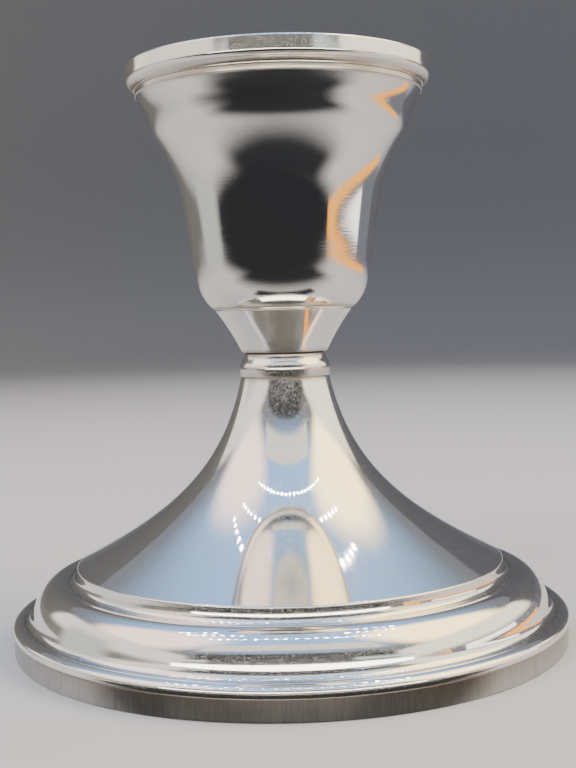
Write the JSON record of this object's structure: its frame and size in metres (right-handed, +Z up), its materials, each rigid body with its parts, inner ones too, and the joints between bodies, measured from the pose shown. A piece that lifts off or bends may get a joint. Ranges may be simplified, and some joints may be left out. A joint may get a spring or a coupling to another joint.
{
  "type": "candlestick",
  "caption": "Low round silver candlestick: stepped weighted foot, trumpet-shaped dome, beaded neck and a bell-shaped candle cup that screws out of the neck.",
  "frame": {"origin": "centre of the underside, on the surface that the candlestick stands on", "axes": "+Z up along the axis of the candlestick; it is round, so X and Y are free"},
  "size_m": [0.0784, 0.0784, 0.0803],
  "materials": {
    "silver": "polished",
    "satin_silver": "satin",
    "brass": "satin",
    "steel": "satin",
    "plaster": "matte",
    "felt": "matte",
    "fibre": "matte"
  },
  "bodies": {
    "base": {"base_shell": "silver", "foot_band": "satin_silver", "neck_bead": "silver", "neck_bushing": "brass", "core_rod": "steel", "rod_washer": "steel", "rod_nut": "steel", "base_filler": "plaster", "base_plate": "steel", "felt_pad": "felt"},
    "seat": {"seat_washer": "fibre"},
    "cup": {"cup_foot": "silver", "cup_stud": "brass", "stud_washer": "steel", "cup_filler": "plaster", "cup_bowl": "silver", "rim_band": "silver", "candle_socket": "silver"}
  },
  "joints": [
    {"name": "cup_lift", "type": "slide", "parent": "base", "child": "seat", "axis": [0, 0, 1], "range_m": [0, 0.0076]},
    {"name": "cup_turn", "type": "hinge", "parent": "seat", "child": "cup", "pos_m": [0, 0, 0.0404], "axis": [0, 0, 1], "range_deg": [0, 2160]}
  ],
  "couplings": [
    {"joint": "cup_turn", "follows": "cup_lift", "rad_per_m": 4947.4}
  ]
}
